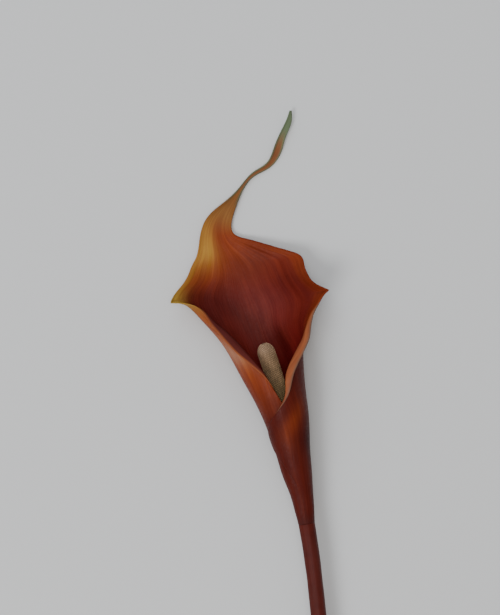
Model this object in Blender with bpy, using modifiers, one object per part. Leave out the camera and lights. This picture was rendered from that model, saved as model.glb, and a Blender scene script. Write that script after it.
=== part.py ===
"""A cut calla lily flower, lying on its back.

One rolled leaf, the spathe, with a long drawn-out tail, wraps a fleshy spike, the spadix,
and both grow from one stem. The model is in metres with +Z up: the flower points along +Y,
its mouth faces +Z, and its back, its tail and the cut end of the stem lie near z = 0.
"""

import math

import bmesh
import bpy
import numpy as np
from mathutils import Vector

MM = 0.001

# The flower's own frame has its origin where the spathe meets the stem. This moves it
# so that the origin is under the middle of the whole flower, on the surface it lies on.
FLOWER_AT = (7.0, 28.6, -0.6)

# --- stem -------------------------------------------------------------------------------
STEM_TOP_RADIUS = 3.35
STEM_END_RADIUS = 3.6
STEM_ROUTE = (
    (0.35, 0.0, 12.5), (0.0, -15.0, 12.45), (-0.75, -28.0, 12.3), (-1.75, -41.0, 12.0),
    (-4.6, -75.0, 11.0), (-7.6, -120.0, 9.2), (-9.0, -170.0, 7.0), (-8.6, -232.0, 4.2),
)
STEM_CUT_SLANT = 38.0       # degrees off square, as a knife leaves it
NECK_RADIUS = 2.2           # the end of the stem inside the spathe, which carries the spadix
NECK_LENGTH = 13.6
FIT_GAP = 0.3               # between the pieces where they meet

# --- spadix -----------------------------------------------------------------------------
SPADIX_ROUTE = ((0.65, 13.9, 12.7), (0.4, 30.0, 13.0), (-0.5, 48.0, 14.0),
                (-1.9, 63.0, 15.4), (-3.9, 77.4, 17.0))
SPADIX_BASE_RADIUS = 2.9
SPADIX_RADIUS = 3.85
SPADIX_SWELL = 0.45         # share of the length over which it reaches its full radius
SPADIX_ROUND = 4.6          # length of the rounded top

# --- spathe -----------------------------------------------------------------------------
SHEET_THICKNESS = 0.9
RIM_THICKNESS = 0.5
RIM_WIDTH = 4.0
TAIL_THICKNESS = 0.6

# Cross-sections of the spathe, in millimetres and degrees. Each is an arc on either side
# of the midrib: half width and depth of its ellipse, and how far it turns up from the
# back (90 is upright, 180 is over the front). Lap is how far the right side stands out
# over the left where they overlap. Yaw turns a section with the tail, twist rolls it.
SECTIONS = (
    # midrib x, y, z      left: half, deep, turn   right: half, deep, turn   yaw  twist  lap
    (0.35,   0.3,  9.1,   3.40,  3.4, 175,         3.40,  3.4, 175,          0,   0, 0.0),
    (0.6,   12.0,  7.8,   4.70,  4.7, 176,         4.70,  4.7, 176,          0,   0, 0.1),
    (0.3,   20.0,  6.5,   6.00,  6.0, 172,         6.00,  6.0, 178,          0,   0, 0.6),
    (0.2,   28.0,  5.5,   6.80,  6.8, 180,         6.90,  6.9, 235,          0,   0, 0.8),
    (0.3,   36.0,  4.5,   8.00,  8.0, 200,         8.00,  8.0, 262,          0,   0, 0.8),
    (0.0,   45.0,  3.4,   9.40,  9.5, 195,         9.40,  9.6, 222,          0,   0, 0.8),
    (-1.0,  54.0,  2.5,  10.80, 10.9, 177,        10.90, 10.9, 183,          0,   0, 0.8),
    (-2.2,  63.0,  1.9,  12.60, 11.6, 161,        12.90, 12.6, 147,          0,   0, 0.6),
    (-3.5,  72.0,  1.6,  14.20, 11.7, 148,        15.70, 17.8, 103,          0,   0, 0.0),
    (-5.0,  82.0,  1.3,  16.80, 11.3, 131,        21.80, 24.0,  83,          0,   0, 0.0),
    (-6.3,  92.0,  1.2,  21.60, 10.3, 118,        30.40, 30.0,  73,          0,   0, 0.0),
    (-7.5, 100.0,  1.1,  25.50,  9.5, 108,        31.80, 32.0,  62,          0,   0, 0.0),
    (-9.0, 108.0,  1.1,  28.00, 12.0,  62,        35.60, 26.0,  53,          0,   0, 0.0),
    (-10.0, 112.3, 1.1,  25.50, 12.0,  53,        37.00, 22.0,  49,          0,   0, 0.0),
    (-11.0, 116.5, 1.1,  23.50, 12.0,  45,        30.00, 18.0,  45,          0,   0, 0.0),
    (-13.0, 124.0, 1.2,  16.00,  8.0,  42,        12.00,  8.0,  42,          0,   0, 0.0),
    (-12.5, 131.0, 1.4,  10.00,  5.0,  45,         6.80,  4.0,  45,        -30,   0, 0.0),
    (-8.0, 138.0,  1.7,   4.00,  3.0,  50,         4.00,  3.0,  50,        -40,   0, 0.0),
    (-1.5, 144.5,  2.0,   1.10,  0.9,  60,         1.10,  0.9,  60,        -42,   0, 0.0),
    (5.5,  150.3,  1.7,   0.90,  0.8,  60,         0.90,  0.8,  60,        -55,  10, 0.0),
    (12.6, 153.2,  1.6,   1.50,  0.8,  60,         1.50,  0.8,  60,        -52,  30, 0.0),
    (17.0, 157.8,  1.9,   2.10,  1.0,  60,         2.10,  1.0,  60,        -35,  20, 0.0),
    (21.0, 164.5,  2.6,   1.60,  0.9,  60,         1.60,  0.9,  60,        -28,   0, 0.0),
    (25.0, 170.5,  3.4,   1.20,  0.7,  60,         1.20,  0.7,  60,        -20,   0, 0.0),
    (26.4, 174.4,  3.9,   0.35,  0.3,  60,         0.35,  0.3,  60,        -10,   0, 0.0),
)
COLUMNS = ("x", "y", "z", "left_half", "left_deep", "left_turn",
           "right_half", "right_deep", "right_turn", "yaw", "twist", "lap")

# The two points of the rim: where they are along the midrib, how far they reach out
# beyond the rim's curve, and over what length of rim they are drawn out.
LEFT_POINT = {"at": 104.6, "reach": (-5.4, -0.5, -0.5), "length": 2.2}
RIGHT_POINT = {"at": 97.4, "reach": (4.8, -0.5, 1.0), "length": 2.4}
POINT_FROM = 0.6            # share of the side beyond which a point begins

# The right rim rolls outwards in a lip between these places along the midrib.
LIP_GROWS = (56.0, 66.0)
LIP_FADES = (90.0, 100.0)
LIP_WIDTH = 4.0
LIP_OUT = 2.2

LAP_FROM = 90.0             # degrees of turn over which the lap builds up
LAP_OVER = 80.0

STEPS_ACROSS = 26           # even, so that the midrib is an edge
STEPS_ALONG_CUP = 44
STEPS_ALONG_TAIL = 20
TAIL_STARTS = 142.0         # along the midrib

COLOURS = {
    "stem": ((0.10, 0.024, 0.016), 0.45),
    "spathe": ((0.16, 0.020, 0.010), 0.42),
    "spadix": ((0.24, 0.14, 0.07), 0.75),
}


def clear_objects():
    for thing in list(bpy.data.objects):
        bpy.data.objects.remove(thing, do_unlink=True)


def plain_material(name):
    colour, roughness = COLOURS[name]
    material = bpy.data.materials.new(name + "_surface")
    material.use_nodes = True
    shader = material.node_tree.nodes["Principled BSDF"]
    shader.inputs["Base Color"].default_value = (*colour, 1.0)
    shader.inputs["Roughness"].default_value = roughness
    shader.inputs["Metallic"].default_value = 0.0
    return material


def natural_curve(knots, values, places):
    """Values at the places of the smooth cubic curve that runs through every knot."""
    step = np.diff(knots)
    slope = np.diff(values) / step
    size = len(knots)
    matrix = np.eye(size)
    right_side = np.zeros(size)
    for i in range(1, size - 1):
        matrix[i, i - 1:i + 2] = step[i - 1], 2 * (step[i - 1] + step[i]), step[i]
        right_side[i] = 6 * (slope[i] - slope[i - 1])
    bend = np.linalg.solve(matrix, right_side)
    i = np.clip(np.searchsorted(knots, places) - 1, 0, size - 2)
    before = (knots[i + 1] - places) / step[i]
    after = (places - knots[i]) / step[i]
    return (before * values[i] + after * values[i + 1]
            + ((before ** 3 - before) * bend[i]
               + (after ** 3 - after) * bend[i + 1]) * step[i] ** 2 / 6)


def run_length(points):
    return np.concatenate(([0.0], np.cumsum(np.linalg.norm(np.diff(points, axis=0), axis=1))))


def smooth_route(points, places):
    """Points at shares 0..1 of the way along the smooth curve through the route."""
    points = np.array(points)
    knots = run_length(points)
    return np.stack([natural_curve(knots, points[:, axis], np.asarray(places) * knots[-1])
                     for axis in range(3)], axis=-1)


def ease(value):
    value = np.clip(value, 0.0, 1.0)
    return value * value * (3.0 - 2.0 * value)


def spathe_surface(across, along):
    """Points of the middle of the sheet: across runs -1..1 from left rim to right rim,
    along is the distance from the base in millimetres."""
    across, along = np.broadcast_arrays(across, along)
    table = np.array(SECTIONS)
    knots = run_length(table[:, :3])
    at = {name: natural_curve(knots, table[:, i], along) for i, name in enumerate(COLUMNS)}
    share = np.abs(across)
    is_right = across >= 0
    side = np.where(is_right, 1.0, -1.0)
    half = np.where(is_right, at["right_half"], at["left_half"])
    deep = np.where(is_right, at["right_deep"], at["left_deep"])
    turn = np.radians(np.where(is_right, at["right_turn"], at["left_turn"]))
    angle = turn * share
    lap = at["lap"] * side * ease((np.degrees(angle) - LAP_FROM) / LAP_OVER)

    from_rim = (1.0 - share) * 0.5 * (half + deep) * turn
    lip = (ease((along - LIP_GROWS[0]) / (LIP_GROWS[1] - LIP_GROWS[0]))
           * (1.0 - ease((along - LIP_FADES[0]) / (LIP_FADES[1] - LIP_FADES[0])))
           * np.clip(1.0 - from_rim / LIP_WIDTH, 0.0, 1.0) ** 2 * LIP_OUT * is_right)

    x = side * (half + lap) * np.sin(angle) + lip * np.sin(angle)
    y = np.zeros_like(x)
    z = deep - (deep + lap + lip) * np.cos(angle)

    for sign, point in ((-1.0, LEFT_POINT), (1.0, RIGHT_POINT)):
        pull = (np.exp(-np.abs(along - point["at"]) / point["length"])
                * ease((share - POINT_FROM) / (1.0 - POINT_FROM)) ** 2 * (side == sign))
        x, y, z = (value + reach * pull for value, reach in zip((x, y, z), point["reach"]))

    twist, yaw = np.radians(at["twist"]), np.radians(at["yaw"])
    x, z = x * np.cos(twist) + z * np.sin(twist), z * np.cos(twist) - x * np.sin(twist)
    x, y = x * np.cos(yaw) - y * np.sin(yaw), x * np.sin(yaw) + y * np.cos(yaw)
    return np.stack((at["x"] + x, at["y"] + y, at["z"] + z), axis=-1), from_rim


def places_along(length):
    """Distances along the midrib, with one at each point of the rim."""
    cup = np.linspace(0.0, TAIL_STARTS, STEPS_ALONG_CUP + 1)
    for point in (LEFT_POINT, RIGHT_POINT):
        cup[np.argmin(np.abs(cup - point["at"]))] = point["at"]
    tail = np.linspace(TAIL_STARTS, length, STEPS_ALONG_TAIL + 1)
    return np.concatenate((cup, tail[1:]))


def make_spathe(collection):
    length = run_length(np.array(SECTIONS)[:, :3])[-1]
    along = places_along(length)
    across = np.linspace(-1.0, 1.0, STEPS_ACROSS + 1)
    points, from_rim = spathe_surface(across[None, :], along[:, None])
    rows, columns = len(along), len(across)
    mesh = bpy.data.meshes.new("spathe")
    faces = [(row * columns + column, row * columns + column + 1,
              (row + 1) * columns + column + 1, (row + 1) * columns + column)
             for row in range(rows - 1) for column in range(columns - 1)]
    mesh.from_pydata((points * MM).reshape(-1, 3).tolist(), [], faces)
    spathe = bpy.data.objects.new("spathe", mesh)
    collection.objects.link(spathe)

    tail = ease((along[:, None] - TAIL_STARTS + 15.0) / 25.0)
    thick = RIM_THICKNESS + (SHEET_THICKNESS - RIM_THICKNESS) * ease(from_rim / RIM_WIDTH)
    thick = thick * (1.0 - tail) + TAIL_THICKNESS * tail
    group = spathe.vertex_groups.new(name="thickness")
    for index, value in enumerate(thick.reshape(-1)):
        group.add([index], float(value / SHEET_THICKNESS), "REPLACE")
    shell = spathe.modifiers.new("sheet thickness", "SOLIDIFY")
    shell.thickness = SHEET_THICKNESS * MM
    shell.offset = 0.0
    shell.vertex_group = group.name
    mesh.shade_smooth()
    return spathe


def round_tube(name, points, radii, collection):
    """A tube of changing radius with closed ends."""
    curve = bpy.data.curves.new(name, "CURVE")
    curve.dimensions = "3D"
    curve.bevel_depth = MM
    curve.bevel_resolution = 4
    curve.use_fill_caps = True
    spline = curve.splines.new("POLY")
    spline.points.add(len(points) - 1)
    for point, place, radius in zip(spline.points, points, radii):
        point.co = (*(np.asarray(place) * MM), 1.0)
        point.radius = float(radius)
    tube = bpy.data.objects.new(name, curve)
    collection.objects.link(tube)
    return tube


def as_mesh(tube):
    """The tube as a mesh object with welded caps."""
    evaluated = tube.evaluated_get(bpy.context.evaluated_depsgraph_get())
    mesh = bpy.data.meshes.new_from_object(evaluated)
    edit = bmesh.new()
    edit.from_mesh(mesh)
    bmesh.ops.remove_doubles(edit, verts=edit.verts, dist=1e-6)
    edit.to_mesh(mesh)
    edit.free()
    solid = bpy.data.objects.new(tube.name + "_solid", mesh)
    solid.matrix_world = tube.matrix_world
    for collection in tube.users_collection:
        collection.objects.link(solid)
    name = tube.name
    bpy.data.objects.remove(tube, do_unlink=True)
    solid.name = name
    return solid


def cut_end(stem):
    """Slices the far end of the stem off at a slant, facing up and back."""
    route = smooth_route(STEM_ROUTE, [0.97, 1.0])
    backwards = Vector(route[1] - route[0]).normalized()
    slant = math.radians(STEM_CUT_SLANT)
    normal = backwards * math.cos(slant) + Vector((0.0, 0.0, 1.0)) * math.sin(slant)
    middle = Vector(route[1]) - backwards * STEM_END_RADIUS * math.tan(slant)
    edit = bmesh.new()
    edit.from_mesh(stem.data)
    everything = edit.verts[:] + edit.edges[:] + edit.faces[:]
    bmesh.ops.bisect_plane(edit, geom=everything, plane_co=middle * MM, plane_no=normal,
                           clear_outer=True)
    bmesh.ops.holes_fill(edit, edges=[edge for edge in edit.edges if edge.is_boundary])
    edit.to_mesh(stem.data)
    edit.free()


def make_stem(collection):
    shares = np.linspace(1.0, 0.0, 31)
    points = smooth_route(STEM_ROUTE, shares)
    radii = STEM_TOP_RADIUS + (STEM_END_RADIUS - STEM_TOP_RADIUS) * shares
    shoulder = points[-1] + (0.0, FIT_GAP * 0.1, 0.0)
    neck_end = (SPADIX_ROUTE[0][0], NECK_LENGTH, SPADIX_ROUTE[0][2])
    points = np.vstack((points, [shoulder, neck_end]))
    radii = np.append(radii, [NECK_RADIUS, NECK_RADIUS])
    stem = as_mesh(round_tube("stem", points, radii, collection))
    cut_end(stem)
    stem.data.shade_smooth()
    stem.data.set_sharp_from_angle(angle=math.radians(40))
    return stem


def make_spadix(collection):
    length = run_length(np.array(SPADIX_ROUTE))[-1]
    straight_share = 1.0 - SPADIX_ROUND / length
    body = np.linspace(0.0, straight_share, 15)
    top_angle = np.linspace(0.0, math.pi / 2, 7)[1:]
    shares = np.append(body, straight_share + (1.0 - straight_share) * np.sin(top_angle))
    radii = np.append(
        SPADIX_BASE_RADIUS + (SPADIX_RADIUS - SPADIX_BASE_RADIUS) * ease(body / SPADIX_SWELL),
        SPADIX_RADIUS * np.maximum(np.cos(top_angle), 0.12))
    spadix = round_tube("spadix", smooth_route(SPADIX_ROUTE, shares), radii, collection)
    return spadix


def main():
    clear_objects()
    collection = bpy.data.collections.new("calla_lily_flower")
    bpy.context.scene.collection.children.link(collection)
    flower = bpy.data.objects.new("flower_frame", None)
    flower.location = Vector(FLOWER_AT) * MM
    collection.objects.link(flower)
    for make in (make_stem, make_spathe, make_spadix):
        piece = make(collection)
        piece.parent = flower
        piece.data.materials.clear()
        piece.data.materials.append(plain_material(piece.name))


main()
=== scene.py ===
"""The looks of a cut calla lily flower: its veined spathe, its spadix of tiny florets, and its
stem with a fresh cut end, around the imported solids."""

import math

import bmesh
import bpy
import numpy as np
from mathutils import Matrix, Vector


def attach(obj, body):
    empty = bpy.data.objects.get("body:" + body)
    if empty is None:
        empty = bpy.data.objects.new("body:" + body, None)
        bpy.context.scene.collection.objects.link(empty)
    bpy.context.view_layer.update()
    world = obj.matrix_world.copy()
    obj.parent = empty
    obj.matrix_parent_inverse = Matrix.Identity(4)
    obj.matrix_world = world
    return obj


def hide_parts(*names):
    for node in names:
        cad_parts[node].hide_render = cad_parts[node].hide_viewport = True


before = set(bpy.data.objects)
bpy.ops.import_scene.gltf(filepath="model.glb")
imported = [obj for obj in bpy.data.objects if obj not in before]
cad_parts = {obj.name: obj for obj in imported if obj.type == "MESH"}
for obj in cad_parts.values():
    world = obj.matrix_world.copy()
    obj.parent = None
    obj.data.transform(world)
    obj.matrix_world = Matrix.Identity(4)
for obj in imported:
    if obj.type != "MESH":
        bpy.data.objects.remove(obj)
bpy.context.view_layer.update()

MM = 0.001
FLOWER_AT = np.array((7.0, 28.6, -0.6))   # the flower's own frame, in the part's, millimetres

# --- driving sizes, in millimetres and degrees ---------------------------------------------
# The solids use the same routes, points and most of the sections. Here the first three
# sections are snugger, the five from 63 to 100 mm curl further round so that the rims can
# roll out, and the sheet is about 0.1 mm thinner.
STEM_TOP_RADIUS = 3.35
STEM_END_RADIUS = 3.6
STEM_ROUTE = (
    (0.35, 0.0, 12.5), (0.0, -15.0, 12.45), (-0.75, -28.0, 12.3), (-1.75, -41.0, 12.0),
    (-4.6, -75.0, 11.0), (-7.6, -120.0, 9.2), (-9.0, -170.0, 7.0), (-8.6, -232.0, 4.2),
)
STEM_CUT_SLANT = 38.0
NECK_RADIUS = 2.2
NECK_START = (0.36, 0.04, 12.5)
NECK_END = (0.65, 13.6, 12.7)
SPADIX_ROUTE = ((0.65, 13.9, 12.7), (0.4, 30.0, 13.0), (-0.5, 48.0, 14.0),
                (-1.9, 63.0, 15.4), (-3.9, 77.4, 17.0))
SPADIX_BASE_RADIUS = 2.9
SPADIX_RADIUS = 3.85
SPADIX_SWELL = 0.45
SPADIX_ROUND = 4.6
SHEET_THICKNESS = 0.8
RIM_THICKNESS = 0.35
RIM_WIDTH = 4.0
TAIL_THICKNESS = 0.5
BASE_EDGE = 0.15            # share of the thickness left where the base hugs the stem
BASE_TAPER = 7.0

SECTIONS = (
    # midrib x, y, z      left: half, deep, turn   right: half, deep, turn   yaw  twist  lap
    (0.35,  -1.6,  8.92,  3.56,  3.56, 180,        3.56,  3.56, 181,         0,   0, 0.0),
    (0.6,   12.0,  7.8,   4.70,  4.7, 180,         4.70,  4.7, 186,          0,   0, 0.12),
    (0.3,   20.0,  6.5,   6.00,  6.0, 180,         6.00,  6.0, 203,          0,   0, 0.5),
    (0.2,   28.0,  5.5,   6.80,  6.8, 180,         6.90,  6.9, 235,          0,   0, 0.8),
    (0.3,   36.0,  4.5,   8.00,  8.0, 200,         8.00,  8.0, 262,          0,   0, 0.8),
    (0.0,   45.0,  3.4,   9.40,  9.5, 195,         9.40,  9.6, 222,          0,   0, 0.8),
    (-1.0,  54.0,  2.5,  10.80, 10.9, 177,        10.90, 10.9, 183,          0,   0, 0.8),
    (-2.2,  63.0,  1.9,  12.60, 11.6, 174,        12.90, 12.4, 176,          0,   0, 0.6),
    (-3.5,  72.0,  1.6,  14.20, 11.7, 170,        15.50, 13.8, 142,          0,   0, 0.0),
    (-5.0,  82.0,  1.3,  16.80, 11.3, 156,        20.80, 22.8,  89,          0,   0, 0.0),
    (-6.3,  92.0,  1.2,  21.60, 10.3, 133,        29.80, 30.0,  73,          0,   0, 0.0),
    (-7.5, 100.0,  1.1,  25.50,  9.5, 112,        31.80, 32.0,  62,          0,   0, 0.0),
    (-9.0, 108.0,  1.1,  28.00, 12.0,  62,        35.60, 26.0,  53,          0,   0, 0.0),
    (-10.0, 112.3, 1.1,  25.50, 12.0,  53,        37.00, 22.0,  49,          0,   0, 0.0),
    (-11.0, 116.5, 1.1,  23.50, 12.0,  45,        30.00, 18.0,  45,          0,   0, 0.0),
    (-13.0, 124.0, 1.2,  16.00,  8.0,  42,        12.00,  8.0,  42,          0,   0, 0.0),
    (-12.5, 131.0, 1.4,  10.00,  5.0,  45,         6.80,  4.0,  45,        -30,   0, 0.0),
    (-8.0, 138.0,  1.7,   4.00,  3.0,  50,         4.00,  3.0,  50,        -40,   0, 0.0),
    (-1.5, 144.5,  2.0,   1.10,  0.9,  60,         1.10,  0.9,  60,        -42,   0, 0.0),
    (5.5,  150.3,  1.7,   0.90,  0.8,  60,         0.90,  0.8,  60,        -55,  10, 0.0),
    (12.6, 153.2,  1.6,   1.50,  0.8,  60,         1.50,  0.8,  60,        -52,  30, 0.0),
    (17.0, 157.8,  1.9,   2.10,  1.0,  60,         2.10,  1.0,  60,        -35,  20, 0.0),
    (21.0, 164.5,  2.6,   1.60,  0.9,  60,         1.60,  0.9,  60,        -28,   0, 0.0),
    (25.0, 170.5,  3.4,   1.20,  0.7,  60,         1.20,  0.7,  60,        -20,   0, 0.0),
    (26.4, 174.4,  3.9,   0.35,  0.3,  60,         0.35,  0.3,  60,        -10,   0, 0.0),
)
COLUMNS = ("x", "y", "z", "left_half", "left_deep", "left_turn",
           "right_half", "right_deep", "right_turn", "yaw", "twist", "lap")
LEFT_POINT = {"at": 104.6, "reach": (-5.4, -0.5, -0.5), "length": 2.2}
RIGHT_POINT = {"at": 97.4, "reach": (4.8, -0.5, 1.0), "length": 2.4}
POINT_FROM = 0.6
# how many millimetres of each rim roll outwards: distance along, width
LEFT_ROLL = ((54.0, 0.0), (62.0, 1.2), (72.0, 3.6), (82.0, 5.0), (91.0, 3.4), (98.0, 1.5),
             (103.0, 0.4), (107.0, 0.0))
RIGHT_ROLL = ((40.0, 0.0), (50.0, 1.2), (58.0, 3.0), (66.0, 4.6), (75.0, 4.6), (83.0, 2.8),
              (91.0, 0.9), (97.0, 0.0))
ROLL_ROUND = 0.9
LEFT_ROLL_RISE = 0.22
RIGHT_ROLL_RISE = 0.35
LAP_FROM = 90.0
LAP_OVER = 80.0
TAIL_STARTS = 142.0
VEIN_TURN = 160.0

# --- the finer surface --------------------------------------------------------------------
STEPS_ACROSS = 140
STEPS_ALONG_CUP = 230
STEPS_ALONG_TAIL = 70
PLEAT_HEIGHT = 0.16         # broad soft folds that run with the veins
PLEATS_WIDE = 19.0          # radians from the midrib to a rim
PLEATS_NARROW = 31.0
RIM_WAVE = 0.30             # slow waves along the free rim
WAVED_WIDTH = 8.0
WAVE_SLOW = 0.42            # radians a millimetre
WAVE_QUICK = 0.93
RELIEF_SHARE = 0.6
CUP_OPENS = (58.0, 78.0)
CUP_ENDS = (118.0, 134.0)
TAIL_THINS = (-15.0, 10.0)  # before and after the tail starts
FLORETS = 3000
FLORET_RADIUS = 0.30
FLORET_HEIGHT = 0.62        # as a share of its radius
FLORET_UNEVENNESS = 0.22
FLORET_SUNK = 0.16
SEAT_CROWDING = 0.97        # below 1 the seats thin out a little towards the base
CORE_SUNK = 0.2
# painted shade: how much darker the core shows between the florets
CORE_SHADE = 0.45
STEM_RINGS = 320
STEM_SIDES = 64
CORE_SIDES = 32
STEM_RIBS = 0.008           # how far the ribs stand out, as a share of the radius
STEM_SWELL = 0.17           # extra radius just below the flower
STEM_SWELL_LENGTH = 9.0
SKIN_EDGE = 0.35            # width of the skin's ring on the cut face
PITH_EDGE = 0.25
PITH_SUNK = 0.12

# --- colours, linear ----------------------------------------------------------------------
BURGUNDY = (0.125, 0.012, 0.008)
DEEP_THROAT = (0.130, 0.007, 0.006)
# painted sheen: a mauve reflection of the window light on the inner wall
MAUVE_PAINTED_SHEEN = (0.175, 0.026, 0.022)
RED_ORANGE = (0.235, 0.038, 0.010)
ORANGE = (0.380, 0.105, 0.032)
OCHRE = (0.460, 0.225, 0.040)
YELLOW_GREEN = (0.420, 0.260, 0.045)
OLIVE = (0.240, 0.095, 0.026)
TAIL_BROWN = (0.230, 0.085, 0.035)
TAIL_GREEN = (0.120, 0.150, 0.085)
OUTER_DARK = (0.085, 0.009, 0.005)
# painted shade on the right side of the tube
OUTER_PAINTED_SHADE = (0.035, 0.003, 0.003)
# painted highlight on the outside of the left flap
PALE_PINK_PAINTED_HIGHLIGHT = (0.400, 0.190, 0.120)
# the rolled lip's lighter orange, with a painted pinkish sheen on it
LIP_ORANGE_AND_PAINTED_SHEEN = (0.270, 0.075, 0.030)
# painted shade on the left flap's in-rolled shelf
SHELF_PAINTED_SHADE = (0.085, 0.014, 0.012)
RIM_GREY = (0.110, 0.075, 0.055)
STEM_RED = (0.072, 0.0115, 0.0085)
STEM_OLIVE = (0.105, 0.070, 0.030)
PITH_FIBRE = (0.32, 0.30, 0.14)
PITH_PALE = (0.58, 0.60, 0.36)
PITH_WET = (0.36, 0.30, 0.16)
FLORET_CREAM = (0.340, 0.215, 0.115)
FLORET_LOW = (0.330, 0.225, 0.095)
FLORET_TIP = (0.420, 0.275, 0.170)

# --- surroundings -------------------------------------------------------------------------
CAMERA_AT = np.array((-6.63, 93.28, 450.5))     # in the flower's own frame, millimetres
CAMERA_TURN = -10.5
CAMERA_LENS = 60.0
CAMERA_FILM = 36.0
FLOOR_REACH = 3.0
FLOOR_GREY = (0.66, 0.66, 0.66, 1.0)
LAMPS_AIM = (0.0, 0.08, 0.0)
LAMPS = (
    # name, place in metres, size in metres, watts, colour
    ("window_key", (-0.75, -0.45, 1.25), 0.60, 12.5, (0.97, 0.985, 1.0)),
    ("overhead_glow", (0.0, 0.12, 1.30), 0.5, 4.0, (1.0, 0.97, 0.93)),
    ("cool_fill", (-0.2, 1.1, 1.0), 1.2, 7.5, (0.74, 0.86, 1.0)),
)
ROOM_COLOUR = (1.0, 0.975, 0.94, 1.0)
ROOM_STRENGTH = 0.42


def natural_curve(knots, values, places):
    """Values at the places of the smooth cubic curve that runs through every knot."""
    step = np.diff(knots)
    slope = np.diff(values) / step
    size = len(knots)
    matrix = np.eye(size)
    right_side = np.zeros(size)
    for i in range(1, size - 1):
        matrix[i, i - 1:i + 2] = step[i - 1], 2 * (step[i - 1] + step[i]), step[i]
        right_side[i] = 6 * (slope[i] - slope[i - 1])
    bend = np.linalg.solve(matrix, right_side)
    i = np.clip(np.searchsorted(knots, places) - 1, 0, size - 2)
    before = (knots[i + 1] - places) / step[i]
    after = (places - knots[i]) / step[i]
    return (before * values[i] + after * values[i + 1]
            + ((before ** 3 - before) * bend[i]
               + (after ** 3 - after) * bend[i + 1]) * step[i] ** 2 / 6)


def run_length(points):
    return np.concatenate(([0.0], np.cumsum(np.linalg.norm(np.diff(points, axis=0), axis=1))))


def smooth_route(points, places):
    """Points at shares 0..1 of the way along the smooth curve through the route."""
    points = np.array(points)
    knots = run_length(points)
    return np.stack([natural_curve(knots, points[:, axis], np.asarray(places) * knots[-1])
                     for axis in range(3)], axis=-1)


def ease(value):
    value = np.clip(value, 0.0, 1.0)
    return value * value * (3.0 - 2.0 * value)


def between(value, low, high):
    return ease((value - low) / (high - low))


def roll_width(is_right, along):
    widths = []
    for table in (LEFT_ROLL, RIGHT_ROLL):
        knots, values = np.array(table).T
        inside = np.clip(along, knots[0], knots[-1])
        widths.append(np.clip(natural_curve(knots, values, inside), 0.0, None))
    return np.where(is_right, widths[1], widths[0])


def spathe_surface(across, along):
    """Points of the middle of the sheet: across runs -1..1 from left rim to right rim,
    along is the distance from the base in millimetres."""
    across, along = np.broadcast_arrays(across, along)
    table = np.array(SECTIONS)
    knots = run_length(table[:, :3])
    at = {name: natural_curve(knots, table[:, i], along) for i, name in enumerate(COLUMNS)}
    share = np.abs(across)
    is_right = across >= 0
    side = np.where(is_right, 1.0, -1.0)
    half = np.where(is_right, at["right_half"], at["left_half"])
    deep = np.where(is_right, at["right_deep"], at["left_deep"])
    turn = np.radians(np.where(is_right, at["right_turn"], at["left_turn"]))
    angle = turn * share
    lap = at["lap"] * side * ease((np.degrees(angle) - LAP_FROM) / LAP_OVER)

    size = 0.5 * (half + deep)
    from_rim = (1.0 - share) * size * turn
    roll = roll_width(is_right, along)
    past = np.clip(roll - from_rim, 0.0, None)      # how far beyond the crease
    angle = np.minimum(angle, turn - roll / size)
    bent = ROLL_ROUND * (1.0 - np.exp(-past / ROLL_ROUND))
    x = side * ((half + lap) * np.sin(angle) + np.cos(angle) * bent + (past - bent))
    y = np.zeros_like(x)
    rise = np.where(is_right, RIGHT_ROLL_RISE, LEFT_ROLL_RISE)
    z = deep - (deep + lap) * np.cos(angle) + np.sin(angle) * bent + rise * (past - bent)
    for sign, point in ((-1.0, LEFT_POINT), (1.0, RIGHT_POINT)):
        pull = (np.exp(-np.abs(along - point["at"]) / point["length"])
                * ease((share - POINT_FROM) / (1.0 - POINT_FROM)) ** 2 * (side == sign))
        x, y, z = (value + reach * pull for value, reach in zip((x, y, z), point["reach"]))

    twist, yaw = np.radians(at["twist"]), np.radians(at["yaw"])
    x, z = x * np.cos(twist) + z * np.sin(twist), z * np.cos(twist) - x * np.sin(twist)
    x, y = x * np.cos(yaw) - y * np.sin(yaw), x * np.sin(yaw) + y * np.cos(yaw)
    return np.stack((at["x"] + x, at["y"] + y, at["z"] + z), axis=-1), from_rim


def vein_position(across, along):
    """Where a place lies between the veins, which run straight up the tube and the cup."""
    table = np.array(SECTIONS)
    knots = run_length(table[:, :3])
    column = np.where(across >= 0, *(natural_curve(knots, table[:, COLUMNS.index(name)], along)
                                     for name in ("right_turn", "left_turn")))
    cup = between(along, 50.0, 85.0)
    return across * (column * (1.0 - cup) + VEIN_TURN * cup) / (2.0 * VEIN_TURN)


def unit(vectors):
    return vectors / np.maximum(np.linalg.norm(vectors, axis=-1, keepdims=True), 1e-9)


def sheet_normals(points):
    """Normals of the sheet that point into the cup."""
    return unit(np.cross(np.gradient(points, axis=1), np.gradient(points, axis=0)))


# --- shared shader groups -----------------------------------------------------------------
def new_group(name, inputs, outputs):
    group = bpy.data.node_groups.new(name, "ShaderNodeTree")
    for label, kind, value in inputs:
        socket = group.interface.new_socket(label, in_out="INPUT", socket_type=kind)
        if value is not None:
            socket.default_value = value
    for label, kind in outputs:
        group.interface.new_socket(label, in_out="OUTPUT", socket_type=kind)
    return group, group.nodes.new("NodeGroupInput"), group.nodes.new("NodeGroupOutput")


def add(tree, kind, **values):
    node = tree.nodes.new(kind)
    for name, value in values.items():
        setattr(node, name, value)
    return node


def join(tree, source, target):
    tree.links.new(source, target)


def calculate(tree, operation, first, second=None):
    node = add(tree, "ShaderNodeMath", operation=operation)
    for socket, value in zip(node.inputs, (first, second)):
        if value is None:
            continue
        if isinstance(value, (int, float)):
            socket.default_value = value
        else:
            join(tree, value, socket)
    return node.outputs[0]


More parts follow.
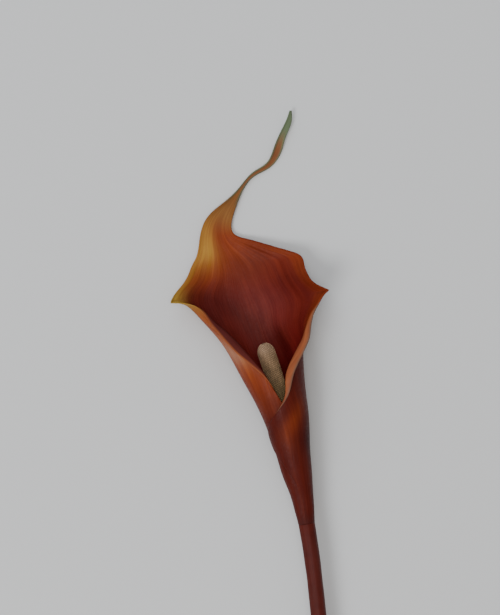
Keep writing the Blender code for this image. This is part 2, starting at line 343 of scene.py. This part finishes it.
def make_streak_group():
    """Fibres that run lengthwise: a mask of pale streaks and a height of fine veins."""
    group, given, result = new_group(
        "lengthwise_fibres",
        (("Vector", "NodeSocketVector", None), ("Fibres", "NodeSocketFloat", 60.0),
         ("Length", "NodeSocketFloat", 5.0)),
        (("Streaks", "NodeSocketFloat"), ("Fine", "NodeSocketFloat")))
    split = add(group, "ShaderNodeSeparateXYZ")
    join(group, given.outputs["Vector"], split.inputs[0])
    stretched = add(group, "ShaderNodeCombineXYZ")
    join(group, calculate(group, "MULTIPLY", split.outputs[0], given.outputs["Fibres"]),
         stretched.inputs[0])
    join(group, calculate(group, "MULTIPLY", split.outputs[1], given.outputs["Length"]),
         stretched.inputs[1])
    for label, scale, detail in (("Streaks", 0.35, 4.0), ("Fine", 1.6, 3.0)):
        noise = add(group, "ShaderNodeTexNoise")
        noise.inputs["Scale"].default_value = scale
        noise.inputs["Detail"].default_value = detail
        noise.inputs["Distortion"].default_value = 0.25
        join(group, stretched.outputs[0], noise.inputs["Vector"])
        join(group, noise.outputs[0], result.inputs[label])
    return group


def make_mottle_group():
    """Soft blotches and fine specks, by place."""
    group, given, result = new_group(
        "soft_mottle",
        (("Vector", "NodeSocketVector", None), ("Size", "NodeSocketFloat", 120.0)),
        (("Blotches", "NodeSocketFloat"), ("Specks", "NodeSocketFloat")))
    for label, factor, detail in (("Blotches", 1.0, 5.0), ("Specks", 14.0, 2.0)):
        noise = add(group, "ShaderNodeTexNoise")
        noise.inputs["Detail"].default_value = detail
        join(group, calculate(group, "MULTIPLY", given.outputs["Size"], factor),
             noise.inputs["Scale"])
        join(group, given.outputs["Vector"], noise.inputs["Vector"])
        join(group, noise.outputs[0], result.inputs[label])
    return group


def ramp(tree, source, low, high, from_value=0.0, to_value=1.0):
    node = add(tree, "ShaderNodeMapRange")
    node.inputs["From Min"].default_value = low
    node.inputs["From Max"].default_value = high
    node.inputs["To Min"].default_value = from_value
    node.inputs["To Max"].default_value = to_value
    join(tree, source, node.inputs["Value"])
    return node.outputs[0]


def mix(tree, factor, first, second, blend="MIX"):
    node = add(tree, "ShaderNodeMix", data_type="RGBA", blend_type=blend)
    for socket, value in ((node.inputs["Factor"], factor), (node.inputs[6], first),
                          (node.inputs[7], second)):
        if isinstance(value, (int, float)):
            socket.default_value = value
        elif isinstance(value, tuple):
            socket.default_value = (*value, 1.0)
        else:
            join(tree, value, socket)
    return node.outputs[2]


def new_material(name):
    material = bpy.data.materials.new(name)
    material.use_nodes = True
    tree = material.node_tree
    return material, tree, tree.nodes["Principled BSDF"]


def use_group(tree, group, **values):
    node = add(tree, "ShaderNodeGroup", node_tree=group)
    for name, value in values.items():
        if isinstance(value, (int, float)):
            node.inputs[name].default_value = value
        else:
            join(tree, value, node.inputs[name])
    return node


def bump(tree, shader, height, strength, distance):
    node = add(tree, "ShaderNodeBump")
    node.inputs["Strength"].default_value = strength
    node.inputs["Distance"].default_value = distance
    join(tree, height, node.inputs["Height"])
    join(tree, node.outputs[0], shader.inputs["Normal"])


def make_spathe_material(fibres, mottle):
    """Satin petal skin: the painted ground colour, streaked along the veins."""
    material, tree, shader = new_material("veined_petal_skin")
    ground = add(tree, "ShaderNodeAttribute", attribute_name="ground").outputs["Color"]
    spread = add(tree, "ShaderNodeUVMap", uv_map="spread").outputs[0]
    place = add(tree, "ShaderNodeTexCoord").outputs["Object"]
    veins = use_group(tree, fibres, Vector=spread, Fibres=70.0, Length=11.0)
    blotch = use_group(tree, mottle, Vector=place, Size=55.0)
    streaked = mix(tree, ramp(tree, veins.outputs["Streaks"], 0.44, 0.80, 0.0, 0.60),
                   ground, mix(tree, 1.0, ground, (1.7, 2.1, 1.7), "MULTIPLY"))
    shaded = mix(tree, ramp(tree, veins.outputs["Fine"], 0.30, 0.70, 0.30, 0.0),
                 streaked, mix(tree, 1.0, ground, (0.45, 0.35, 0.40), "MULTIPLY"))
    blotched = mix(tree, ramp(tree, blotch.outputs["Blotches"], 0.42, 0.66, 0.0, 0.50),
                   shaded, mix(tree, 1.0, shaded, (0.60, 0.50, 0.60), "MULTIPLY"))
    join(tree, blotched, shader.inputs["Base Color"])
    join(tree, ramp(tree, blotch.outputs["Specks"], 0.3, 0.7, 0.36, 0.52),
         shader.inputs["Roughness"])
    shader.inputs["Specular IOR Level"].default_value = 0.08
    height = calculate(tree, "ADD", veins.outputs["Fine"],
                       calculate(tree, "MULTIPLY", blotch.outputs["Specks"], 0.25))
    bump(tree, shader, height, 0.30, 0.0005)
    return material


def make_stem_material(fibres, mottle):
    material, tree, shader = new_material("waxy_stem_skin")
    ground = add(tree, "ShaderNodeAttribute", attribute_name="ground").outputs["Color"]
    spread = add(tree, "ShaderNodeUVMap", uv_map="spread").outputs[0]
    place = add(tree, "ShaderNodeTexCoord").outputs["Object"]
    lines = use_group(tree, fibres, Vector=spread, Fibres=44.0, Length=10.0)
    blotch = use_group(tree, mottle, Vector=place, Size=140.0)
    striped = mix(tree, ramp(tree, lines.outputs["Fine"], 0.40, 0.65, 0.0, 0.5),
                  ground, mix(tree, 1.0, ground, (1.55, 1.75, 1.7), "MULTIPLY"))
    freckled = mix(tree, ramp(tree, blotch.outputs["Blotches"], 0.45, 0.72, 0.0, 0.45),
                   striped, mix(tree, 1.0, ground, (0.55, 0.45, 0.5), "MULTIPLY"))
    join(tree, freckled, shader.inputs["Base Color"])
    join(tree, ramp(tree, blotch.outputs["Specks"], 0.3, 0.7, 0.34, 0.5),
         shader.inputs["Roughness"])
    shader.inputs["Specular IOR Level"].default_value = 0.08
    bump(tree, shader, lines.outputs["Fine"], 0.3, 0.0004)
    return material


def make_cut_material(mottle):
    """The pale wet face of the cut, dotted with the ends of its fibres."""
    material, tree, shader = new_material("fresh_cut_pith")
    place = add(tree, "ShaderNodeTexCoord").outputs["Object"]
    cells = add(tree, "ShaderNodeTexVoronoi")
    cells.inputs["Scale"].default_value = 1500.0
    join(tree, place, cells.inputs["Vector"])
    blotch = use_group(tree, mottle, Vector=place, Size=400.0)
    pith = mix(tree, ramp(tree, cells.outputs["Distance"], 0.15, 0.5),
               PITH_FIBRE, PITH_PALE)
    join(tree, mix(tree, ramp(tree, blotch.outputs["Blotches"], 0.4, 0.7, 0.0, 0.5), pith,
                   PITH_WET), shader.inputs["Base Color"])
    shader.inputs["Roughness"].default_value = 0.38
    bump(tree, shader, cells.outputs["Distance"], 0.4, 0.0002)
    return material


def make_floret_material(mottle):
    material, tree, shader = new_material("pollen_florets")
    ground = add(tree, "ShaderNodeAttribute", attribute_name="ground").outputs["Color"]
    place = add(tree, "ShaderNodeTexCoord").outputs["Object"]
    blotch = use_group(tree, mottle, Vector=place, Size=260.0)
    dusty = mix(tree, ramp(tree, blotch.outputs["Blotches"], 0.42, 0.66, 0.0, 0.6),
                ground, mix(tree, 1.0, ground, (1.5, 1.45, 1.5), "MULTIPLY"))
    speckled = mix(tree, ramp(tree, blotch.outputs["Specks"], 0.5, 0.75, 0.0, 0.5),
                   dusty, mix(tree, 1.0, ground, (0.55, 0.5, 0.45), "MULTIPLY"))
    join(tree, speckled, shader.inputs["Base Color"])
    shader.inputs["Roughness"].default_value = 0.8
    shader.inputs["Specular IOR Level"].default_value = 0.15
    bump(tree, shader, blotch.outputs["Specks"], 0.4, 0.0002)
    return material


# --- mesh helpers -------------------------------------------------------------------------
def grid_faces(rows, columns, start=0, flip=False):
    """Quads of a grid of vertices, row by row."""
    row, column = np.meshgrid(np.arange(rows - 1), np.arange(columns - 1), indexing="ij")
    corner = (start + row * columns + column).reshape(-1)
    quads = np.stack((corner, corner + 1, corner + columns + 1, corner + columns), axis=-1)
    return quads[:, ::-1] if flip else quads


def build_piece(name, points, faces, material, ground=None, spread=None):
    mesh = bpy.data.meshes.new(name)
    mesh.from_pydata((points * MM).tolist(), [], [list(face) for face in faces])
    mesh.materials.append(material)
    if ground is not None:
        colours = mesh.color_attributes.new("ground", "FLOAT_COLOR", "POINT")
        rgba = np.concatenate((ground, np.ones((len(ground), 1))), axis=1)
        colours.data.foreach_set("color", rgba.astype(np.float32).reshape(-1))
    if spread is not None:
        layer = mesh.uv_layers.new(name="spread")
        corners = np.zeros(len(mesh.loops), dtype=np.int32)
        mesh.loops.foreach_get("vertex_index", corners)
        layer.data.foreach_set("uv", spread[corners].astype(np.float32).reshape(-1))
    mesh.shade_smooth()
    piece = bpy.data.objects.new(name, mesh)
    bpy.context.scene.collection.objects.link(piece)
    return piece


def set_in_frame(piece, node):
    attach(piece, "root")
    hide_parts(node)


# --- spathe -------------------------------------------------------------------------------
def patch(across, along, centre, size):
    """A soft round patch on the spread-out sheet."""
    reach = ((across - centre[0]) / size[0]) ** 2 + ((along - centre[1]) / size[1]) ** 2
    return np.exp(-reach)


def blend_colour(ground, mask, colour):
    return ground + (np.array(colour) - ground) * np.clip(mask, 0.0, 1.0)[..., None]


def inner_colours(across, along, from_rim):
    """Throat to rim: burgundy, a painted mauve sheen and red-orange, with ochre at the left; painted
    shade darkens the right shoulder and the left rolled shelf, and the right lip is lighter orange
    with a painted pinkish sheen.
    """
    ground = np.broadcast_to(np.array(BURGUNDY), (*along.shape, 3)).copy()
    ground = blend_colour(ground, 1.0 - between(along, 60.0, 98.0), DEEP_THROAT)
    # painted sheen: a mauve reflection across the cup's inner wall
    ground = blend_colour(ground, 0.7 * patch(across, along, (0.10, 92.0), (0.35, 12.0)), MAUVE_PAINTED_SHEEN)
    ground = blend_colour(ground, 0.85 * between(along, 100.0, 122.0), RED_ORANGE)
    # painted shade: darker burgundy over the right shoulder, which turns away from the light
    ground = blend_colour(ground, 0.65 * patch(across, along, (0.70, 112.0), (0.45, 11.0)), BURGUNDY)
    near_rim = 1.0 - between(from_rim, 0.0, 9.0)
    ground = blend_colour(ground, 0.75 * near_rim * between(along, 55.0, 75.0), RED_ORANGE)
    roll = roll_width(across >= 0, along)
    rolled = between(roll - from_rim, -0.6, 0.6) * between(roll, 0.3, 1.2)
    # right rolled lip: lighter orange colour plus a painted pinkish sheen
    ground = blend_colour(ground, 0.85 * rolled * (across > 0), LIP_ORANGE_AND_PAINTED_SHEEN)
    # painted shade on the left rolled shelf
    ground = blend_colour(ground, 0.90 * rolled * (across < 0), SHELF_PAINTED_SHADE)
    rim_line = (1.0 - between(from_rim, 0.2, 0.9)) * between(roll, 0.3, 1.2)
    ground = blend_colour(ground, 0.7 * rim_line * (across < 0), ORANGE)
    ground = blend_colour(ground, 0.7 * rim_line * (across > 0), RIM_GREY)
    ground = blend_colour(ground, 0.9 * patch(across, along, (-0.65, 125.0), (0.32, 8.0)), OCHRE)
    left_rim = (1.0 - between(from_rim, 0.0, 4.5)) * (across < 0) * between(along, 100.0, 108.0)
    ground = blend_colour(ground, 0.7 * left_rim, OCHRE)
    ground = blend_colour(ground, patch(across, along, (-1.0, 104.6), (0.22, 4.5)), YELLOW_GREEN)
    return blend_colour(ground, between(along, 128.0, 140.0), OLIVE)


def outer_colours(across, along, from_rim):
    """Dark red-brown outside, orange over the left flap with a painted pale highlight near its rim,
    and painted shade on the tube's right side.
    """
    ground = np.broadcast_to(np.array(OUTER_DARK), (*along.shape, 3)).copy()
    left_flap = (across < -0.25) * between(along, 42.0, 66.0)
    ground = blend_colour(ground, 0.8 * left_flap, RED_ORANGE)
    ground = blend_colour(ground, 0.55 * left_flap * between(along, 62.0, 84.0), ORANGE)
    # painted highlight: a pale pink glint on the left flap's outside
    ground = blend_colour(ground, 0.7 * patch(across, along, (-0.75, 78.0), (0.14, 5.0)), PALE_PINK_PAINTED_HIGHLIGHT)
    ground = blend_colour(ground, 0.55 * patch(across, along, (0.72, 45.0), (0.10, 9.0)),
                          RED_ORANGE)
    # painted shade: near black on the tube's right side, turned from the light
    ground = blend_colour(ground, 0.8 * patch(across, along, (0.45, 36.0), (0.16, 8.0)),
                          OUTER_PAINTED_SHADE)
    ground = blend_colour(ground, 0.5 * between(along, 96.0, 122.0), RED_ORANGE)
    ground = blend_colour(ground, 0.8 * patch(across, along, (-1.0, 104.6), (0.3, 6.0)),
                          YELLOW_GREEN)
    ground = blend_colour(ground, 1.0 - between(along, 0.0, 5.0), STEM_RED)
    return blend_colour(ground, between(along, 126.0, 140.0), OLIVE)


def tail_colours(ground, across, along):
    """Brown-orange core with green edges, and a dark green tip."""
    ground = blend_colour(ground, between(along, 148.0, 156.0), TAIL_BROWN)
    edge = between(np.abs(across), 0.35, 0.95) * between(along, 142.0, 150.0)
    ground = blend_colour(ground, 0.8 * edge, TAIL_GREEN)
    return blend_colour(ground, between(along, 176.0, 187.0), TAIL_GREEN)


def surface_relief(across, along, from_rim):
    """How far the sheet stands off its even shape, towards the inside."""
    open_cup = between(along, *CUP_OPENS) * (1.0 - between(along, *CUP_ENDS))
    pleats = (np.sin(across * PLEATS_WIDE + 0.8)
              + RELIEF_SHARE * np.sin(across * PLEATS_NARROW + along * 0.05))
    near_rim = 1.0 - between(from_rim, 0.0, WAVED_WIDTH)
    waves = np.sin(along * WAVE_SLOW + 2.0 * across) + 0.5 * np.sin(along * WAVE_QUICK + 1.0)
    return RELIEF_SHARE * open_cup * (PLEAT_HEIGHT * pleats + RIM_WAVE * near_rim * waves)


def sheet_thickness(along, from_rim):
    """Thins towards the free rims, the tail and the base hem."""
    before, after = TAIL_THINS
    tail = between(along, TAIL_STARTS + before, TAIL_STARTS + after)
    thick = RIM_THICKNESS + (SHEET_THICKNESS - RIM_THICKNESS) * ease(from_rim / RIM_WIDTH)
    thick = thick * (1.0 - tail) + TAIL_THICKNESS * tail
    hem = BASE_EDGE + (1.0 - BASE_EDGE) * between(along, 0.0, BASE_TAPER)
    return (thick * hem)[..., None]


def steps_along_spathe(length):
    """Close steps up the cup, with one on each of its points, then the tail's."""
    cup = np.linspace(0.0, TAIL_STARTS, STEPS_ALONG_CUP + 1)
    for point in (LEFT_POINT, RIGHT_POINT):
        cup[np.argmin(np.abs(cup - point["at"]))] = point["at"]
    return np.concatenate((cup, np.linspace(TAIL_STARTS, length, STEPS_ALONG_TAIL + 1)[1:]))


def closed_sheet_faces(rows, columns):
    """Faces of an inner and an outer grid, joined all round their border."""
    inside = np.arange(rows * columns).reshape(rows, columns)
    border = np.concatenate((inside[0, :-1], inside[:-1, -1], inside[-1, :0:-1],
                             inside[:0:-1, 0]))
    following = np.roll(border, -1)
    rim = np.stack((following, border, border + rows * columns, following + rows * columns),
                   axis=-1)
    return np.concatenate((grid_faces(rows, columns),
                           grid_faces(rows, columns, rows * columns, flip=True), rim))


def make_spathe(material):
    length = run_length(np.array(SECTIONS)[:, :3])[-1]
    across, along = np.meshgrid(np.linspace(-1.0, 1.0, STEPS_ACROSS + 1),
                                steps_along_spathe(length))
    middle, from_rim = spathe_surface(across, along)
    middle = middle + sheet_normals(middle) * surface_relief(across, along, from_rim)[..., None]
    offset = sheet_normals(middle) * sheet_thickness(along, from_rim) / 2
    points = np.concatenate(((middle + offset).reshape(-1, 3), (middle - offset).reshape(-1, 3)))
    ground = np.concatenate([
        tail_colours(colours(across, along, from_rim), across, along).reshape(-1, 3)
        for colours in (inner_colours, outer_colours)])
    spread = np.stack((vein_position(across, along) + 0.5, along / length), axis=-1).reshape(-1, 2)
    piece = build_piece("petal_sheet", points + FLOWER_AT, closed_sheet_faces(*along.shape),
                        material, ground, np.concatenate((spread, spread)))
    make_outward(piece)
    set_in_frame(piece, "spathe")


def make_outward(piece):
    edit = bmesh.new()
    edit.from_mesh(piece.data)
    bmesh.ops.recalc_face_normals(edit, faces=edit.faces)
    edit.to_mesh(piece.data)
    edit.free()


# --- round pieces -------------------------------------------------------------------------
def ring_frames(route):
    """Two sideways directions at each point of the route."""
    forward = unit(np.gradient(route, axis=0))
    sideways = unit(np.cross(forward, np.array((0.0, 0.0, 1.0))))
    return sideways, np.cross(sideways, forward)


def tube_points(route, radii, around, ridge=0.0, ridges=9):
    sideways, up = ring_frames(route)
    turn = np.linspace(0.0, 2 * math.pi, around, endpoint=False)
    radius = radii[:, None] * (1.0 + ridge * np.cos(ridges * turn)[None, :])
    return (route[:, None] + (radius * np.cos(turn))[..., None] * sideways[:, None]
            + (radius * np.sin(turn))[..., None] * up[:, None])


def tube_faces(rings, around):
    faces = []
    for ring in range(rings - 1):
        for step in range(around):
            after = (step + 1) % around
            faces.append((ring * around + step, ring * around + after,
                          (ring + 1) * around + after, (ring + 1) * around + step))
    faces.append(tuple(range(around))[::-1])
    faces.append(tuple(range((rings - 1) * around, rings * around)))
    return faces


def stem_radii(shares):
    """A slight swell below the flower, and an uneven thickness all along."""
    length = run_length(np.array(STEM_ROUTE))[-1]
    radii = STEM_TOP_RADIUS + (STEM_END_RADIUS - STEM_TOP_RADIUS) * shares
    radii = radii + STEM_SWELL * np.exp(-shares * length / STEM_SWELL_LENGTH)
    return radii + 0.05 * np.sin(shares * 37.0) + 0.03 * np.sin(shares * 101.0)


def stem_colours(down):
    """Red-brown, olive towards the cut end and dark where it meets the flower."""
    ground = np.broadcast_to(np.array(STEM_RED), (len(down), 3)).copy()
    ground = blend_colour(ground, 0.55 * between(down, 0.25, 1.0), STEM_OLIVE)
    return blend_colour(ground, 0.6 * (1.0 - between(down, 0.0, 0.05)), OUTER_DARK)


def make_stem(skin, pith):
    shares = np.linspace(1.0, 0.0, STEM_RINGS)
    neck = np.array([NECK_START, NECK_END])
    route = np.vstack((smooth_route(STEM_ROUTE, shares), neck))
    radii = np.append(stem_radii(shares), [NECK_RADIUS, NECK_RADIUS])
    points = tube_points(route, radii, STEM_SIDES, ridge=STEM_RIBS).reshape(-1, 3)
    turn = np.abs(np.linspace(-1.0, 1.0, STEM_SIDES, endpoint=False))
    down = np.append(shares, [0.0, 0.0])
    spread = np.stack(np.broadcast_arrays(turn[None, :], down[:, None]), axis=-1).reshape(-1, 2)
    piece = build_piece("flower_stem", points + FLOWER_AT, tube_faces(len(route), STEM_SIDES),
                        skin, stem_colours(spread[:, 1]), spread)
    piece.data.materials.append(pith)
    cut_stem_end(piece)
    set_in_frame(piece, "stem")


def cut_stem_end(piece):
    """Slices the far end off at a slant; the new face is pith with a slightly raised skin."""
    route = smooth_route(STEM_ROUTE, [0.97, 1.0])
    backwards = Vector(route[1] - route[0]).normalized()
    slant = math.radians(STEM_CUT_SLANT)
    normal = backwards * math.cos(slant) + Vector((0.0, 0.0, 1.0)) * math.sin(slant)
    middle = (Vector(route[1]) + Vector(FLOWER_AT)
              - backwards * STEM_END_RADIUS * math.tan(slant))
    edit = bmesh.new()
    edit.from_mesh(piece.data)
    bmesh.ops.recalc_face_normals(edit, faces=edit.faces)
    everything = edit.verts[:] + edit.edges[:] + edit.faces[:]
    bmesh.ops.bisect_plane(edit, geom=everything, plane_co=middle * MM, plane_no=normal,
                           clear_outer=True)
    filled = bmesh.ops.holes_fill(edit, edges=[e for e in edit.edges if e.is_boundary])
    face = filled["faces"][0]
    inner = bmesh.ops.inset_individual(edit, faces=[face], thickness=SKIN_EDGE * MM,
                                          depth=0.0)
    face.material_index = 1
    for ring in inner["faces"]:
        ring.material_index = 0
    bmesh.ops.inset_individual(edit, faces=[face], thickness=PITH_EDGE * MM,
                                  depth=-PITH_SUNK * MM)
    bmesh.ops.poke(edit, faces=[face])
    for flat in edit.faces:
        flat.smooth = flat.material_index == 0
    edit.to_mesh(piece.data)
    edit.free()


def spadix_radius(share, length):
    straight = 1.0 - SPADIX_ROUND / length
    body = SPADIX_BASE_RADIUS + (SPADIX_RADIUS - SPADIX_BASE_RADIUS) * ease(share / SPADIX_SWELL)
    cap = np.sqrt(np.clip(1.0 - np.clip((share - straight) / (1.0 - straight), 0, 1) ** 2,
                          0.0, 1.0))
    return body * cap


def spadix_colours(share):
    ground = np.broadcast_to(np.array(FLORET_CREAM), (len(share), 3)).copy()
    ground = blend_colour(ground, 1.0 - between(share, 0.5, 0.85), FLORET_LOW)
    return blend_colour(ground, between(share, 0.86, 1.0), FLORET_TIP)


def floret_tree(material):
    """Sets one floret on each seat, turned to stand off the spike."""
    tree = bpy.data.node_groups.new("florets_on_seats", "GeometryNodeTree")
    tree.interface.new_socket("Geometry", in_out="INPUT", socket_type="NodeSocketGeometry")
    radius = tree.interface.new_socket("Floret Radius", in_out="INPUT",
                                       socket_type="NodeSocketFloat")
    height = tree.interface.new_socket("Floret Height", in_out="INPUT",
                                       socket_type="NodeSocketFloat")
    uneven = tree.interface.new_socket("Unevenness", in_out="INPUT",
                                       socket_type="NodeSocketFloat")
    tree.interface.new_socket("Geometry", in_out="OUTPUT", socket_type="NodeSocketGeometry")
    given, result = add(tree, "NodeGroupInput"), add(tree, "NodeGroupOutput")
    bead = add(tree, "GeometryNodeMeshIcoSphere")
    bead.inputs["Subdivisions"].default_value = 1
    join(tree, given.outputs["Floret Radius"], bead.inputs["Radius"])
    outward = add(tree, "GeometryNodeInputNamedAttribute", data_type="FLOAT_VECTOR")
    outward.inputs["Name"].default_value = "outward"
    turned = add(tree, "FunctionNodeAlignRotationToVector", axis="Z")
    join(tree, outward.outputs["Attribute"], turned.inputs["Vector"])
    chance = add(tree, "FunctionNodeRandomValue", data_type="FLOAT")
    chance.inputs["Seed"].default_value = 11
    low = add(tree, "ShaderNodeMath", operation="SUBTRACT")
    low.inputs[0].default_value = 1.0
    join(tree, given.outputs["Unevenness"], low.inputs[1])
    join(tree, low.outputs[0], chance.inputs[2])
    chance.inputs[3].default_value = 1.0
    size = add(tree, "ShaderNodeCombineXYZ")
    join(tree, chance.outputs[1], size.inputs[0])
    join(tree, chance.outputs[1], size.inputs[1])
    join(tree, given.outputs["Floret Height"], size.inputs[2])
    seats = add(tree, "GeometryNodeMeshToPoints")
    join(tree, given.outputs["Geometry"], seats.inputs["Mesh"])
    set_out = add(tree, "GeometryNodeInstanceOnPoints")
    join(tree, seats.outputs[0], set_out.inputs["Points"])
    join(tree, bead.outputs["Mesh"], set_out.inputs["Instance"])
    join(tree, turned.outputs[0], set_out.inputs["Rotation"])
    join(tree, size.outputs[0], set_out.inputs["Scale"])
    real = add(tree, "GeometryNodeRealizeInstances")
    join(tree, set_out.outputs[0], real.inputs[0])
    finish = add(tree, "GeometryNodeSetMaterial")
    finish.inputs["Material"].default_value = material
    join(tree, real.outputs[0], finish.inputs["Geometry"])
    join(tree, finish.outputs[0], result.inputs[0])
    return tree, {radius.identifier: FLORET_RADIUS * MM, height.identifier: FLORET_HEIGHT,
                  uneven.identifier: FLORET_UNEVENNESS}


def floret_seats(length):
    """Seats in close spirals up the spike, with the direction each floret faces."""
    golden = math.pi * (3.0 - math.sqrt(5.0))
    number = np.arange(FLORETS)
    share = 0.004 + 0.992 * (number + 0.5) / FLORETS
    share = share ** SEAT_CROWDING
    route = smooth_route(SPADIX_ROUTE, share)
    sideways, up = ring_frames(route)
    forward = unit(np.gradient(route, axis=0))
    turn = number * golden
    out = np.cos(turn)[:, None] * sideways + np.sin(turn)[:, None] * up
    radius = spadix_radius(share, length) - FLORET_SUNK
    lean = np.clip((share * length - (length - SPADIX_ROUND)) / SPADIX_ROUND, 0.0, 1.0)[:, None]
    return route + out * radius[:, None], unit(out * (1.0 - lean ** 3) + forward * lean), share


def make_spadix(material):
    length = run_length(np.array(SPADIX_ROUTE))[-1]
    seats, outward, share = floret_seats(length)
    mesh = bpy.data.meshes.new("floret_seats")
    mesh.from_pydata(((seats + FLOWER_AT) * MM).tolist(), [], [])
    directions = mesh.attributes.new("outward", "FLOAT_VECTOR", "POINT")
    directions.data.foreach_set("vector", outward.astype(np.float32).reshape(-1))
    ground = mesh.attributes.new("ground", "FLOAT_COLOR", "POINT")
    rgba = np.concatenate((spadix_colours(share), np.ones((len(share), 1))), axis=1)
    ground.data.foreach_set("color", rgba.astype(np.float32).reshape(-1))
    seats_object = bpy.data.objects.new("floret_seats", mesh)
    bpy.context.scene.collection.objects.link(seats_object)
    tree, inputs = floret_tree(material)
    modifier = seats_object.modifiers.new("florets", "NODES")
    modifier.node_group = tree
    for identifier, value in inputs.items():
        modifier[identifier] = value
    evaluated = seats_object.evaluated_get(bpy.context.evaluated_depsgraph_get())
    florets = bpy.data.objects.new("spadix_florets", bpy.data.meshes.new_from_object(evaluated))
    bpy.context.scene.collection.objects.link(florets)
    bpy.data.objects.remove(seats_object, do_unlink=True)
    florets.data.shade_smooth()
    set_in_frame(florets, "spadix")

    shares = np.append(np.linspace(0.0, 0.92, 60), 0.92 + 0.079 * np.sin(
        np.linspace(0.0, math.pi / 2, 14)[1:]))
    route = smooth_route(SPADIX_ROUTE, shares)
    radii = spadix_radius(shares, length) - CORE_SUNK
    around = CORE_SIDES
    points = tube_points(route, np.maximum(radii, 0.3), around).reshape(-1, 3)
    # painted shade: the core is darkened where it shows between the florets
    tint = spadix_colours(np.repeat(shares, around)) * CORE_SHADE
    core = build_piece("spadix_core", points + FLOWER_AT, tube_faces(len(shares), around),
                       material, tint)
    make_outward(core)
    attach(core, "root")


# --- camera, lamps and floor --------------------------------------------------------------
def make_camera():
    """Looks straight down on the flower, turned so that the flower leans to the left."""
    camera = bpy.data.cameras.new("viewpoint")
    camera.lens = CAMERA_LENS
    camera.sensor_width = CAMERA_FILM
    holder = bpy.data.objects.new("viewpoint", camera)
    holder.location = (CAMERA_AT + FLOWER_AT) * MM
    holder.rotation_euler = (0.0, 0.0, math.radians(CAMERA_TURN))
    bpy.context.scene.collection.objects.link(holder)
    bpy.context.scene.camera = holder


def add_area_light(name, place, size, watts, colour):
    lamp = bpy.data.lights.new(name, "AREA")
    lamp.size = size
    lamp.energy = watts
    lamp.color = colour
    holder = bpy.data.objects.new(name, lamp)
    holder.location = place
    holder.rotation_euler = (Vector(LAMPS_AIM) - Vector(place)).to_track_quat(
        "-Z", "Y").to_euler()
    bpy.context.scene.collection.objects.link(holder)


def make_studio():
    mesh = bpy.data.meshes.new("studio_floor")
    reach = FLOOR_REACH
    mesh.from_pydata([(-reach, -reach, 0), (reach, -reach, 0), (reach, reach, 0),
                      (-reach, reach, 0)], [], [(0, 1, 2, 3)])
    floor = bpy.data.objects.new("studio_floor", mesh)
    bpy.context.scene.collection.objects.link(floor)
    material, tree, shader = new_material("pale_floor")
    shader.inputs["Base Color"].default_value = FLOOR_GREY
    shader.inputs["Roughness"].default_value = 0.9
    mesh.materials.append(material)
    for lamp in LAMPS:
        add_area_light(*lamp)
    world = bpy.data.worlds.new("soft_room")
    bpy.context.scene.world = world
    world.use_nodes = True
    sky = world.node_tree.nodes["Background"]
    sky.inputs["Color"].default_value = ROOM_COLOUR
    sky.inputs["Strength"].default_value = ROOM_STRENGTH


def main():
    make_camera()
    fibres, mottle = make_streak_group(), make_mottle_group()
    make_spathe(make_spathe_material(fibres, mottle))
    make_stem(make_stem_material(fibres, mottle), make_cut_material(mottle))
    make_spadix(make_floret_material(mottle))
    make_studio()


main()

bpy.context.view_layer.update()
